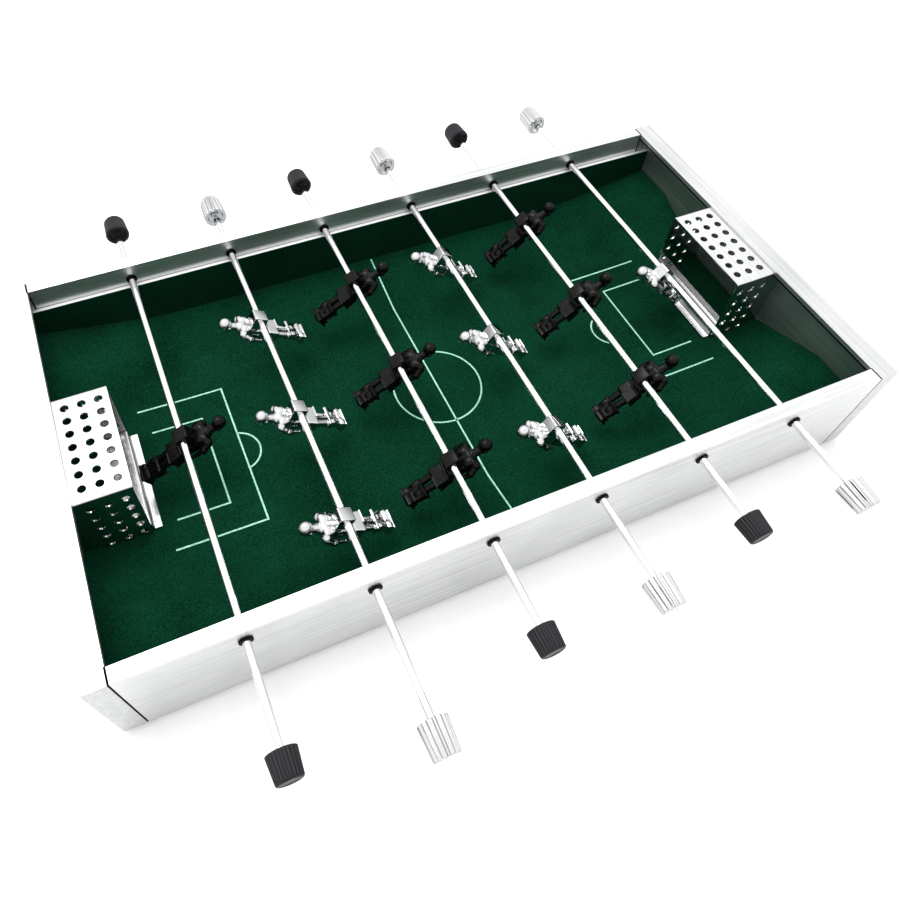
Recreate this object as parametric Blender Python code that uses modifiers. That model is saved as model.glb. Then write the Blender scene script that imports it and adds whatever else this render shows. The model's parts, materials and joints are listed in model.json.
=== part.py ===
"""Tabletop foosball table: an aluminium case, six sliding and spinning rods, fourteen figures.

Units are metres and +Z is up. The origin is the centre of the base board's underside, X runs
along the pitch from the black team's goal to the chrome team's goal, and Y runs along the rods,
from the near rail to the far rail.
"""
import math

import bmesh
import bpy
from mathutils import Matrix, Vector

GAP = 0.0003                 # clearance between pieces that touch or fit
CUT = 0.01                   # how far a cutting shape stands clear of what it cuts

# Case
CASE_LENGTH = 0.543
CASE_WIDTH = 0.300
WALL_BOTTOM_Z = 0.003        # the base board stands this much proud of the walls
WALL_TOP_Z = 0.083
RAIL_THICKNESS = 0.010
RAIL_LENGTH = 0.5128
GASKET_THICKNESS = 0.001
PANEL_WALL = 0.004           # upright wall of an end panel, behind its pocket
LIP_THICKNESS = 0.0035       # lip of an end panel, over its pocket and its gasket
GASKET_BAR_HEIGHT = 0.0012   # the gasket's crosspiece, under the lip
PANEL_CORNER_RADIUS = 0.0035
BOARD_THICKNESS = 0.007
LINER_THICKNESS = 0.0036
LINER_TOP_Z = 0.0663

# Pitch: level in the middle, rising to the ends, banked along the sides and in the corners
PITCH_Z = 0.019
PITCH_RISE_FROM_X = 0.130
PITCH_RISE = 0.30            # metres of height for each square metre of distance
SIDE_BANK_FROM_Y = 0.085
SIDE_BANK_SLOPE = 0.22
CORNER_FROM_X = 0.170
CORNER_Y = (0.046, 0.096)    # where a corner's bank begins, and where it is at its full height
CORNER_HEIGHT = 0.0224
PITCH_CELLS = (24, 16)

# Goals, folded from perforated sheet
SHEET = 0.0012
GOAL_FRONT_X = 0.222
GOAL_HALF_WIDTH = 0.0405
GOAL_TOP_Z = 0.0815
GOAL_HOLE_RADIUS = 0.0024
GOAL_HOLE_SIDES = 6
GOAL_HOLE_COLUMNS = (0.2285, 0.239, 0.2495)
GOAL_TOP_HOLES = 7
GOAL_TOP_HOLE_PITCH = 0.01035
GOAL_SIDE_HOLES = 5
GOAL_SIDE_HOLE_PITCH = 0.011
GOAL_LOWEST_HOLE_Z = 0.027
GOAL_FOOT_SET_BACK = 0.002   # the foot of each side starts this far behind the goal's front
SILL_HALF_WIDTH = 0.0390
SILL_STEP = 0.0069           # height of the sill's ledge above its front strip
SILL_FRONT = -0.0044         # places along X, from the goal's front, of the sill's bends
SILL_RISER = 0.0012
SILL_LEDGE = 0.0074
SILL_BACK = 0.0164

# Rods, bushings and knobs
ROD_SPACING = 0.075
ROD_Z = 0.071
ROD_RADIUS = 0.0025
ROD_HALF_LENGTHS = {"black": 0.2125, "chrome": 0.2165}
ROD_SIDES = 12
BUSHING_SIDES = 10
BUSHING_FLANGE_RADIUS = 0.0043
BUSHING_FLANGE_THICKNESS = 0.001
BUSHING_SLEEVE_RADIUS = 0.0035
KNOB_SIDES = 12
KNOB_FACE_Y = 0.200          # from the rod's middle to the inner face of each knob
LOOSE_KNOB = ("knob_2_near", 0.009)     # this knob sits further out on its rod
KNOB_RECESS_RADIUS = 0.0056
KNOB_RECESS_DEPTH = 0.0035
KNOB_CHAMFER = 0.0018
KNOB_SIZES = {               # length, inner end's radius, outer end's radius, bore depth
    "black": (0.0155, 0.0087, 0.0079, 0.0130),
    "chrome": (0.0198, 0.0090, 0.0081, 0.0170),
}

# Figures: where each rod rests, and how far its figures lean from lying flat
FIGURE_SPACING = 0.0848
ROD_REST_Y = (-0.0100, -0.0174, -0.0060, -0.0070, 0.0048, -0.0010)
ROD_REST_LEAN = (28.0, 31.0, 30.5, 34.5, 36.5, 41.0)
ROD_TEAMS = ("black", "chrome", "black", "chrome", "black", "chrome")
ROD_NUMBERS = range(1, 7)

COLOURS = {                  # base colour, metallic, roughness
    "aluminium": ((0.78, 0.79, 0.80), 1.0, 0.35),
    "gasket": ((0.02, 0.02, 0.02), 0.0, 0.6),
    "board": ((0.05, 0.05, 0.05), 0.0, 0.8),
    "felt": ((0.01, 0.13, 0.06), 0.0, 0.95),
    "sheet": ((0.80, 0.81, 0.82), 1.0, 0.3),
    "steel": ((0.85, 0.85, 0.86), 1.0, 0.12),
    "black": ((0.015, 0.015, 0.017), 0.0, 0.3),
    "chrome": ((0.85, 0.86, 0.87), 1.0, 0.08),
}


# ---------------------------------------------------------------- scene and helpers

def clear_scene():
    for obj in list(bpy.data.objects):
        bpy.data.objects.remove(obj, do_unlink=True)


def make_collection(name):
    collection = bpy.data.collections.new(name)
    bpy.context.scene.collection.children.link(collection)
    return collection


def make_material(name):
    colour, metallic, roughness = COLOURS[name]
    material = bpy.data.materials.new(name)
    material.use_nodes = True
    shader = material.node_tree.nodes["Principled BSDF"]
    shader.inputs["Base Color"].default_value = (*colour, 1.0)
    shader.inputs["Metallic"].default_value = metallic
    shader.inputs["Roughness"].default_value = roughness
    return material


clear_scene()
PARTS = make_collection("foosball_table")
CUTTERS = make_collection("cutters")
MATERIALS = {name: make_material(name) for name in COLOURS}


def add_part(name, mesh, material, parent=None):
    """Put a mesh in the scene as one named sub-part."""
    obj = bpy.data.objects.new(name, mesh)
    PARTS.objects.link(obj)
    if not mesh.materials:
        mesh.materials.append(MATERIALS[material])
    if parent:
        obj.parent = parent
    return obj


def add_empty(name, location):
    empty = bpy.data.objects.new(name, None)
    empty.location = location
    empty.empty_display_size = 0.01
    PARTS.objects.link(empty)
    return empty


def mesh_from(bm, name):
    mesh = bpy.data.meshes.new(name)
    bm.to_mesh(mesh)
    bm.free()
    return mesh


def box_between(bm, low, high):
    """Add a box by its lowest and highest corners."""
    size = [high[i] - low[i] for i in range(3)]
    middle = [(high[i] + low[i]) / 2 for i in range(3)]
    matrix = Matrix.Translation(middle) @ Matrix.Diagonal((*size, 1.0))
    bmesh.ops.create_cube(bm, size=1.0, matrix=matrix)


def box_mesh(name, low, high):
    bm = bmesh.new()
    box_between(bm, low, high)
    return mesh_from(bm, name)


def prism(bm, centre, axis, radius, length, sides):
    """Add a closed prism about an axis through centre."""
    turn = Vector((0, 0, 1)).rotation_difference(Vector(axis)).to_matrix().to_4x4()
    bmesh.ops.create_cone(
        bm, cap_ends=True, segments=sides, radius1=radius, radius2=radius,
        depth=length, matrix=Matrix.Translation(centre) @ turn)


def outline_mesh(name, points, half_width):
    """Extrude an outline in X and Z along Y, by half_width each way."""
    bm = bmesh.new()
    loop = [bm.verts.new((x, -half_width, z)) for x, z in points]
    face = bm.faces.new(loop)
    moved = bmesh.ops.extrude_face_region(bm, geom=[face])["geom"]
    corners = [item for item in moved if isinstance(item, bmesh.types.BMVert)]
    bmesh.ops.translate(bm, verts=corners, vec=(0, 2 * half_width, 0))
    bmesh.ops.recalc_face_normals(bm, faces=bm.faces)
    return mesh_from(bm, name)


def applied_mesh(obj, name):
    """The mesh that an object's modifiers give, as a mesh of its own."""
    graph = bpy.context.evaluated_depsgraph_get()
    mesh = bpy.data.meshes.new_from_object(obj.evaluated_get(graph))
    mesh.name = name
    return mesh


def combined(mesh, others, operation):
    """Join meshes to a mesh, or cut them from it, one after another."""
    for other in others:
        base = bpy.data.objects.new("base", mesh)
        tool = bpy.data.objects.new("tool", other)
        CUTTERS.objects.link(base)
        CUTTERS.objects.link(tool)
        change = base.modifiers.new(operation.lower(), "BOOLEAN")
        change.operation = operation
        change.solver = "EXACT"
        change.object = tool
        bpy.context.view_layer.update()
        mesh = applied_mesh(base, mesh.name)
        bpy.data.objects.remove(base, do_unlink=True)
        bpy.data.objects.remove(tool, do_unlink=True)
    return mesh


def turned_mesh(name, profile, sides, closed):
    """Turn a profile of (radius, height) about Z. It runs down the outer side."""
    bm = bmesh.new()
    points = [bm.verts.new((radius, 0, height)) for radius, height in profile]
    for first, second in zip(points, points[1:]):
        bm.edges.new((first, second))
    if closed:
        bm.edges.new((points[-1], points[0]))
    obj = bpy.data.objects.new(name, mesh_from(bm, name))
    CUTTERS.objects.link(obj)
    screw = obj.modifiers.new("turn", "SCREW")
    screw.axis = "Z"
    screw.angle = math.tau
    screw.steps = sides
    screw.render_steps = sides
    screw.use_merge_vertices = True
    screw.merge_threshold = 0.00001
    bpy.context.view_layer.update()
    mesh = applied_mesh(obj, name)
    bpy.data.objects.remove(obj, do_unlink=True)
    mesh.shade_smooth()
    mesh.set_sharp_from_angle(angle=math.radians(40))
    return mesh


def corner_radius(flat_radius, sides):
    """Radius of a polygon's corners, from the radius of the circle inside it."""
    return flat_radius / math.cos(math.pi / sides)


# ---------------------------------------------------------------- case

HALF_LENGTH = CASE_LENGTH / 2
HALF_WIDTH = CASE_WIDTH / 2
RAIL_INNER_Y = HALF_WIDTH - RAIL_THICKNESS
RAIL_END_X = RAIL_LENGTH / 2
GASKET_X = RAIL_END_X + GAP
PANEL_INNER_X = GASKET_X + GASKET_THICKNESS + GAP
POCKET_X = HALF_LENGTH - PANEL_WALL
LIP_UNDER_Z = WALL_TOP_Z - LIP_THICKNESS
BAR_UNDER_Z = LIP_UNDER_Z - GAP - GASKET_BAR_HEIGHT
LINER_FACE_Y = RAIL_INNER_Y - GAP - LINER_THICKNESS
PITCH_HALF_WIDTH = LINER_FACE_Y - GAP
PITCH_HALF_LENGTH = POCKET_X - GAP
PITCH_UNDER_Z = BOARD_THICKNESS + GAP
BUSHING_HOLE_RADIUS = corner_radius(BUSHING_SLEEVE_RADIUS + GAP, ROD_SIDES)
SIDES = (("near", -1), ("far", 1))
ENDS = (("left", -1), ("right", 1))


def rod_x(number):
    return (number - 3.5) * ROD_SPACING


def make_rail(name, side):
    """A long rail, bored for the six bushings."""
    inner, outer = sorted((side * RAIL_INNER_Y, side * HALF_WIDTH))
    rail = box_mesh(name, (-RAIL_END_X, inner, WALL_BOTTOM_Z), (RAIL_END_X, outer, WALL_TOP_Z))
    bores = bmesh.new()
    for number in ROD_NUMBERS:
        centre = (rod_x(number), (inner + outer) / 2, ROD_Z)
        prism(bores, centre, (0, 1, 0), BUSHING_HOLE_RADIUS, 2 * RAIL_THICKNESS, ROD_SIDES)
    return add_part(name, combined(rail, [mesh_from(bores, "bores")], "DIFFERENCE"), "aluminium")


def make_end_panel(name, end):
    """An end wall: a block with rounded outer corners and a pocket open inward and downward."""
    bm = bmesh.new()
    low_x, high_x = sorted((end * PANEL_INNER_X, end * HALF_LENGTH))
    box_between(bm, (low_x, -HALF_WIDTH, WALL_BOTTOM_Z), (high_x, HALF_WIDTH, WALL_TOP_Z))
    outer_x = end * HALF_LENGTH
    corners = [edge for edge in bm.edges
               if all(abs(vert.co.x - outer_x) < GAP for vert in edge.verts)
               and abs(edge.verts[0].co.z - edge.verts[1].co.z) > GAP]
    bmesh.ops.bevel(bm, geom=corners, offset=PANEL_CORNER_RADIUS, segments=3,
                    profile=0.5, affect="EDGES")
    low_x, high_x = sorted((end * (PANEL_INNER_X - CUT), end * POCKET_X))
    pocket = box_mesh("pocket", (low_x, -RAIL_INNER_Y, WALL_BOTTOM_Z - CUT),
                      (high_x, RAIL_INNER_Y, LIP_UNDER_Z))
    wall = combined(mesh_from(bm, name), [pocket], "DIFFERENCE")
    low_x, high_x = sorted((end * GASKET_X, end * (POCKET_X + GAP)))
    lip_y = RAIL_INNER_Y - GAP
    lip = box_mesh("lip", (low_x, -lip_y, LIP_UNDER_Z), (high_x, lip_y, WALL_TOP_Z))
    return add_part(name, combined(wall, [lip], "UNION"), "aluminium")


def make_gasket(name, end):
    """A thin black frame: a leg at each rail's end and a crosspiece under the panel's lip."""
    low_x, high_x = sorted((end * GASKET_X, end * (GASKET_X + GASKET_THICKNESS)))
    plate = box_mesh(name, (low_x, -HALF_WIDTH, WALL_BOTTOM_Z), (high_x, HALF_WIDTH, WALL_TOP_Z))
    window = box_mesh("window", (low_x - CUT, -RAIL_INNER_Y, WALL_BOTTOM_Z - CUT),
                      (high_x + CUT, RAIL_INNER_Y, BAR_UNDER_Z))
    slot = box_mesh("slot", (low_x - CUT, -RAIL_INNER_Y, BAR_UNDER_Z + GASKET_BAR_HEIGHT),
                    (high_x + CUT, RAIL_INNER_Y, WALL_TOP_Z + CUT))
    return add_part(name, combined(plate, [window, slot], "DIFFERENCE"), "gasket")


def make_base_board():
    x, y = POCKET_X - GAP, RAIL_INNER_Y - GAP
    mesh = box_mesh("base_board", (-x, -y, 0), (x, y, BOARD_THICKNESS))
    return add_part("base_board", mesh, "board")


def make_liner(name, side):
    """A felt-covered strip that stands between the pitch and a rail."""
    inner, outer = sorted((side * LINER_FACE_Y, side * (LINER_FACE_Y + LINER_THICKNESS)))
    x = PITCH_HALF_LENGTH
    mesh = box_mesh(name, (-x, inner, PITCH_UNDER_Z), (x, outer, LINER_TOP_Z))
    return add_part(name, mesh, "felt")


def pitch_height(x, y):
    """Height of the playing surface: level, then rising to the ends, sides and corners."""
    rise = PITCH_RISE * max(abs(x) - PITCH_RISE_FROM_X, 0.0) ** 2
    side = SIDE_BANK_SLOPE * max(abs(y) - SIDE_BANK_FROM_Y, 0.0)
    along = max(abs(x) - CORNER_FROM_X, 0.0) / (PITCH_HALF_LENGTH - CORNER_FROM_X)
    across = min(max((abs(y) - CORNER_Y[0]) / (CORNER_Y[1] - CORNER_Y[0]), 0.0), 1.0)
    corner = along * across * across * (3 - 2 * across)
    return PITCH_Z + rise + side + (CORNER_HEIGHT - side) * corner


def make_pitch():
    """The playing surface, as one board with a shaped top and a flat underside."""
    bm = bmesh.new()
    bmesh.ops.create_grid(
        bm, x_segments=PITCH_CELLS[0], y_segments=PITCH_CELLS[1], size=1.0,
        matrix=Matrix.Diagonal((PITCH_HALF_LENGTH, PITCH_HALF_WIDTH, 1.0, 1.0)))
    for vert in bm.verts:
        vert.co.z = pitch_height(vert.co.x, vert.co.y)
    top_faces = list(bm.faces)
    moved = bmesh.ops.extrude_face_region(bm, geom=top_faces, use_keep_orig=True)["geom"]
    under = [item for item in moved if isinstance(item, bmesh.types.BMVert)]
    for vert in under:
        vert.co.z = PITCH_UNDER_Z
    under_faces = [item for item in moved if isinstance(item, bmesh.types.BMFace)]
    bmesh.ops.dissolve_faces(bm, faces=under_faces, use_verts=True)
    bmesh.ops.recalc_face_normals(bm, faces=bm.faces)
    return add_part("pitch", mesh_from(bm, "pitch"), "felt")


# ---------------------------------------------------------------- goals

def goal_outline(end):
    """Side view of a goal: its top, the step under the gasket, and its foot on the felt."""
    step_x = GASKET_X - GAP
    step_z = BAR_UNDER_Z - GAP
    back_x = PITCH_HALF_LENGTH
    foot_x = GOAL_FRONT_X + GOAL_FOOT_SET_BACK
    foot_points = [foot_x + (back_x - foot_x) * part / 3 for part in (3, 2, 1, 0)]
    points = [(GOAL_FRONT_X, GOAL_TOP_Z), (step_x, GOAL_TOP_Z), (step_x, step_z),
              (back_x, step_z)]
    points += [(x, pitch_height(x, 0) + 2 * GAP) for x in foot_points]
    return [(end * x, z) for x, z in points]


def goal_holes(end):
    """The drills for a goal's top and, through both at once, for its two sides."""
    top, sides = bmesh.new(), bmesh.new()
    for column in GOAL_HOLE_COLUMNS:
        for row in range(GOAL_TOP_HOLES):
            y = (row - (GOAL_TOP_HOLES - 1) / 2) * GOAL_TOP_HOLE_PITCH
            place = (end * column, y, GOAL_TOP_Z)
            prism(top, place, (0, 0, 1), GOAL_HOLE_RADIUS, CUT, GOAL_HOLE_SIDES)
        for row in range(GOAL_SIDE_HOLES):
            z = GOAL_LOWEST_HOLE_Z + row * GOAL_SIDE_HOLE_PITCH
            prism(sides, (end * column, 0, z), (0, 1, 0), GOAL_HOLE_RADIUS,
                  2 * (GOAL_HALF_WIDTH + CUT), GOAL_HOLE_SIDES)
    return [mesh_from(top, "top_drills"), mesh_from(sides, "side_drills")]


def make_goal(name, end):
    """A goal of perforated sheet, folded into a top and two sides."""
    block = outline_mesh(name, goal_outline(end), GOAL_HALF_WIDTH)
    low_x, high_x = sorted((end * (GOAL_FRONT_X - CUT), end * (HALF_LENGTH + CUT)))
    inside_y = GOAL_HALF_WIDTH - SHEET
    inside = box_mesh("inside", (low_x, -inside_y, 0), (high_x, inside_y, GOAL_TOP_Z - SHEET))
    return add_part(name, combined(block, [inside] + goal_holes(end), "DIFFERENCE"), "sheet")


def thick_outline(path, thickness):
    """The outline of a bent strip, from the points of its middle line."""
    corners = [Vector(point) for point in path]
    runs = [(second - first).normalized() for first, second in zip(corners, corners[1:])]
    normals = [Vector((-run.y, run.x)) for run in runs]
    shifts = [normals[0]]
    for before, after in zip(normals, normals[1:]):
        mitre = (before + after).normalized()
        shifts.append(mitre / mitre.dot(after))
    shifts.append(normals[-1])
    half = thickness / 2
    left = [corner + shift * half for corner, shift in zip(corners, shifts)]
    right = [corner - shift * half for corner, shift in zip(corners, shifts)]
    return [tuple(point) for point in left + right[::-1]]


def make_goal_sill(name, end):
    """The bent strip across a goal's mouth: a front strip, a ledge and a shallow groove."""
    front_z = pitch_height(GOAL_FRONT_X + SILL_RISER, 0) + GAP + SHEET / 2
    groove_z = pitch_height(GOAL_FRONT_X + SILL_BACK, 0) + GAP + SHEET / 2
    ledge_z = front_z + SILL_STEP
    path = [(SILL_FRONT, front_z), (SILL_RISER, front_z), (SILL_RISER, ledge_z),
            (SILL_LEDGE, ledge_z), (SILL_LEDGE, groove_z), (SILL_BACK, groove_z),
            (SILL_BACK, ledge_z)]
    outline = [(end * (GOAL_FRONT_X + x), z) for x, z in thick_outline(path, SHEET)]
    return add_part(name, outline_mesh(name, outline, SILL_HALF_WIDTH), "sheet")


# ---------------------------------------------------------------- rods, bushings and knobs

def make_bushing_mesh():
    """A sleeve through the rail, with a flange against the rail's outer face."""
    half = RAIL_THICKNESS / 2 + GAP
    end = half + BUSHING_FLANGE_THICKNESS
    bore = corner_radius(ROD_RADIUS + GAP, BUSHING_SIDES)
    profile = [(bore, end), (BUSHING_FLANGE_RADIUS, end), (BUSHING_FLANGE_RADIUS, half),
               (BUSHING_SLEEVE_RADIUS, half), (BUSHING_SLEEVE_RADIUS, -end), (bore, -end)]
    return turned_mesh("bushing", profile, BUSHING_SIDES, closed=True)


def make_knob_mesh(team):
    """A tapered knob with a cupped inner end and a blind bore for the rod."""
    length, inner_radius, outer_radius, bore_depth = KNOB_SIZES[team]
    bore = corner_radius(ROD_RADIUS + GAP, KNOB_SIDES)
    profile = [(0, length), (outer_radius - KNOB_CHAMFER, length),
               (outer_radius, length - KNOB_CHAMFER), (inner_radius, 0),
               (KNOB_RECESS_RADIUS, 0), (KNOB_RECESS_RADIUS, KNOB_RECESS_DEPTH),
               (bore, KNOB_RECESS_DEPTH), (bore, bore_depth), (0, bore_depth)]
    return turned_mesh("knob_" + team, profile, KNOB_SIDES, closed=False)


def make_rod_mesh(team):
    bm = bmesh.new()
    prism(bm, (0, 0, 0), (0, 1, 0), ROD_RADIUS, 2 * ROD_HALF_LENGTHS[team], ROD_SIDES)
    mesh = mesh_from(bm, "rod_" + team)
    mesh.shade_smooth()
    mesh.set_sharp_from_angle(angle=math.radians(40))
    return mesh


# ---------------------------------------------------------------- figures

# A figure stands up along Z and faces +X, with the rod's axis along Y through the origin.
# Each block is given by its two ends: height, then back, front and half width there.
FIGURE_BORE_LENGTH = 0.03
HEAD_CENTRE = (0.0096, 0.0, 0.0218)
HEAD_RADII = (0.0050, 0.0043, 0.0060)
MIDDLE_BLOCKS = (
    ((-0.0042, -0.0046, 0.0080, 0.0050), (0.0062, -0.0046, 0.0080, 0.0050)),    # clamp
    ((-0.0070, 0.0056, 0.0132, 0.0062), (0.0135, 0.0046, 0.0134, 0.0086)),      # trunk
    ((0.0120, 0.0068, 0.0126, 0.0030), (0.0180, 0.0072, 0.0122, 0.0028)),       # neck
    ((-0.0165, 0.0052, 0.0138, 0.0071), (-0.0050, 0.0056, 0.0134, 0.0062)),     # shorts
)
# Blocks on each side of the figure also give the inner edge of their half width.
SIDE_BLOCKS = (
    ((-0.0050, 0.0090, 0.0132, 0.0086, 0.0122), (0.0130, 0.0066, 0.0126, 0.0072, 0.0114)),
    ((-0.0260, 0.0066, 0.0120, 0.0008, 0.0053), (-0.0150, 0.0058, 0.0132, 0.0005, 0.0066)),
    ((-0.0360, 0.0068, 0.0122, 0.0006, 0.0057), (-0.0250, 0.0060, 0.0127, 0.0005, 0.0063)),
    ((-0.0400, 0.0058, 0.0150, 0.0005, 0.0064), (-0.0350, 0.0064, 0.0134, 0.0006, 0.0059)),
)


def block_mesh(low_end, high_end, side=0):
    """A block between two level rectangles, on the middle plane or on one side of it."""
    bm = bmesh.new()
    bmesh.ops.create_cube(bm, size=2.0)
    for vert in bm.verts:
        end = high_end if vert.co.z > 0 else low_end
        back, front, width = end[1], end[2], end[-1]
        inner = side * end[3] if side else -width
        outer = side * width if side else width
        low_y, high_y = sorted((inner, outer))
        vert.co = (front if vert.co.x > 0 else back, high_y if vert.co.y > 0 else low_y, end[0])
    return mesh_from(bm, "block")


def head_mesh():
    bm = bmesh.new()
    matrix = Matrix.Translation(HEAD_CENTRE) @ Matrix.Diagonal((*HEAD_RADII, 1.0))
    bmesh.ops.create_uvsphere(bm, u_segments=8, v_segments=6, radius=1.0, matrix=matrix)
    return mesh_from(bm, "head")


def make_figure_mesh(team):
    """A player: head, trunk, arms, legs and shoes, with a bored clamp block behind the trunk."""
    blocks = [block_mesh(low, high) for low, high in MIDDLE_BLOCKS]
    blocks += [block_mesh(low, high, side) for low, high in SIDE_BLOCKS for side in (-1, 1)]
    figure = combined(blocks[0], blocks[1:] + [head_mesh()], "UNION")
    bore = bmesh.new()
    bore_radius = corner_radius(ROD_RADIUS + GAP, ROD_SIDES)
    prism(bore, (0, 0, 0), (0, 1, 0), bore_radius, FIGURE_BORE_LENGTH, ROD_SIDES)
    figure = combined(figure, [mesh_from(bore, "bore")], "DIFFERENCE")
    figure.name = "figure_" + team
    return figure


def figure_places(number):
    """Names and places along the rod of the figures on one rod."""
    if number in (1, 6):
        return [("goalkeeper_%d" % number, 0.0)]
    rows = (("near", -FIGURE_SPACING), ("middle", 0.0), ("far", FIGURE_SPACING))
    return [("player_%d_%s" % (number, row), y) for row, y in rows]


def make_rod_assembly(number, meshes):
    """One rod with its figures, its two knobs, and the two bushings that carry it."""
    team = ROD_TEAMS[number - 1]
    rest_y = ROD_REST_Y[number - 1]
    axis = add_empty("rod_%d_axis" % number, (rod_x(number), rest_y, ROD_Z))
    add_part("rod_%d" % number, meshes["rod_" + team], "steel", axis)
    for side_name, side in SIDES:
        knob = add_part("knob_%d_%s" % (number, side_name), meshes["knob_" + team], team, axis)
        further_out = LOOSE_KNOB[1] if knob.name == LOOSE_KNOB[0] else 0.0
        knob.location.y = side * (KNOB_FACE_Y + further_out)
        knob.rotation_euler.x = -side * math.pi / 2
        bushing = add_part("bushing_%d_%s" % (number, side_name), meshes["bushing"], "gasket")
        bushing.location = (rod_x(number), side * (HALF_WIDTH - RAIL_THICKNESS / 2), ROD_Z)
        bushing.rotation_euler.x = -side * math.pi / 2
    for name, y in figure_places(number):
        figure = add_part(name, meshes["figure_" + team], team, axis)
        figure.location.y = y
        lean = math.pi / 2 - math.radians(ROD_REST_LEAN[number - 1])
        facing = 0.0 if team == "black" else math.pi
        figure.rotation_euler = (0.0, lean, facing)


def make_table():
    for side_name, side in SIDES:
        make_rail(side_name + "_rail", side)
        make_liner(side_name + "_liner", side)
    for end_name, end in ENDS:
        make_end_panel(end_name + "_end_panel", end)
        make_gasket(end_name + "_gasket", end)
        make_goal(end_name + "_goal", end)
        make_goal_sill(end_name + "_goal_sill", end)
    make_base_board()
    make_pitch()
    meshes = {"bushing": make_bushing_mesh()}
    for team in ("black", "chrome"):
        meshes["rod_" + team] = make_rod_mesh(team)
        meshes["knob_" + team] = make_knob_mesh(team)
        meshes["figure_" + team] = make_figure_mesh(team)
    for number in ROD_NUMBERS:
        make_rod_assembly(number, meshes)


make_table()
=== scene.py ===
"""How the tabletop foosball table looks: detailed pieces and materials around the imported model.

Units are metres, in the model's own frame: X along the pitch, Y along the rods, Z up.
"""
import json
import math

import bmesh
import bpy
from mathutils import Euler, Matrix, Vector


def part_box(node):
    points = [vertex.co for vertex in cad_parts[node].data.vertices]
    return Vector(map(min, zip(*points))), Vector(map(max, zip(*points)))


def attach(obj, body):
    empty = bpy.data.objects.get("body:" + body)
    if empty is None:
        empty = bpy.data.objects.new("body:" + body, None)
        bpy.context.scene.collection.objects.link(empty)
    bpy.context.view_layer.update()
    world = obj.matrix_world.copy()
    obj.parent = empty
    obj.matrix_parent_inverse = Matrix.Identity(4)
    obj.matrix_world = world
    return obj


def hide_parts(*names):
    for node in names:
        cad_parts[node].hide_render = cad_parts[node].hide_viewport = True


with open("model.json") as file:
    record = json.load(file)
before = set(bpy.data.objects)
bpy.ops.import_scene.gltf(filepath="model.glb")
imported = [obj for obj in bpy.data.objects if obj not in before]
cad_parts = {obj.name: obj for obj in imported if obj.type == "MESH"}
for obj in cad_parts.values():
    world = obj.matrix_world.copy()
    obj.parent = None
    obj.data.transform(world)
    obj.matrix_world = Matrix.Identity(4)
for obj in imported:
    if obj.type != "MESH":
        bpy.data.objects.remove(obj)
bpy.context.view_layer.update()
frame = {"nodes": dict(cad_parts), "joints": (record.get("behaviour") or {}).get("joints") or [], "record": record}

SIDES = (("near", -1), ("far", 1))
ENDS = (("left", -1), ("right", 1))
SPINS = {int(joint["name"].split("_")[1]): joint
         for joint in frame["joints"] if joint["type"] == "hinge"}
TEAMS = {number: "black" if number % 2 else "chrome" for number in SPINS}

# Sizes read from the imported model
ROD_RADIUS = (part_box("rod_1")[1].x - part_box("rod_1")[0].x) / 2
RAIL_INNER_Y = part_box("far_rail")[0].y
GASKET_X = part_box("right_gasket")[0].x

# Sizes shared by several pieces
SHEET = 0.0012               # sheet metal of the goals and their sills
FIT = 0.00005                # clearance between a rod and what it passes through
FELT_THICKNESS = 0.0009
SLEEVE_RADIUS = 0.0036       # outside of a bushing's sleeve
PANEL_WALL = 0.004
LIP_THICKNESS = 0.0035       # an end panel's lip, over its pocket
OVERCUT = 0.01               # how far a cutter stands out past what it cuts

# Shape of the shown playing surface. Its corner banks have another outline than the model's.
PITCH_HALF_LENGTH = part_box("pitch")[1].x
PITCH_Z = 0.019
PITCH_RISE_FROM_X = 0.130
PITCH_RISE = 0.30
SIDE_BANK_FROM_Y = 0.085
SIDE_BANK_SLOPE = 0.22
CORNER_FROM_X = 0.170
CORNER_Y = (0.034, 0.100)
CORNER_HEIGHT = 0.0224


# ---------------------------------------------------------------- mesh helpers

def mesh_from(bm, name):
    mesh = bpy.data.meshes.new(name)
    bm.to_mesh(mesh)
    bm.free()
    return mesh


def add_piece(name, mesh, material, body, replaces=(), place=None):
    """Show a mesh as one piece that rides on a body and stands for its model nodes."""
    piece = bpy.data.objects.new(name, mesh)
    bpy.context.scene.collection.objects.link(piece)
    if place:
        piece.matrix_world = place
    if not mesh.materials:
        mesh.materials.append(None)
    piece.material_slots[0].link = "OBJECT"
    piece.material_slots[0].material = material
    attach(piece, body)
    if replaces:
        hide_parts(*replaces)
    return piece


def smooth(mesh, angle=35):
    mesh.shade_smooth()
    mesh.set_sharp_from_angle(angle=math.radians(angle))
    return mesh


def add_bevel(piece, width, segments=3, angle=40):
    bevel = piece.modifiers.new("edges", "BEVEL")
    bevel.width = width
    bevel.segments = segments
    bevel.limit_method = "ANGLE"
    bevel.angle_limit = math.radians(angle)
    bevel.harden_normals = True
    bevel.miter_outer = "MITER_ARC"
    return piece


def add_box(bm, low, high):
    size = [high[i] - low[i] for i in range(3)]
    middle = [(high[i] + low[i]) / 2 for i in range(3)]
    matrix = Matrix.Translation(middle) @ Matrix.Diagonal((*size, 1.0))
    return bmesh.ops.create_cube(bm, size=1.0, matrix=matrix)["verts"]


def box_mesh(name, low, high):
    bm = bmesh.new()
    add_box(bm, low, high)
    return mesh_from(bm, name)


def add_drill(bm, centre, axis, radius, length, sides=32):
    turn = Vector((0, 0, 1)).rotation_difference(Vector(axis)).to_matrix().to_4x4()
    bmesh.ops.create_cone(
        bm, cap_ends=True, segments=sides, radius1=radius, radius2=radius,
        depth=length, matrix=Matrix.Translation(centre) @ turn)


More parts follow.
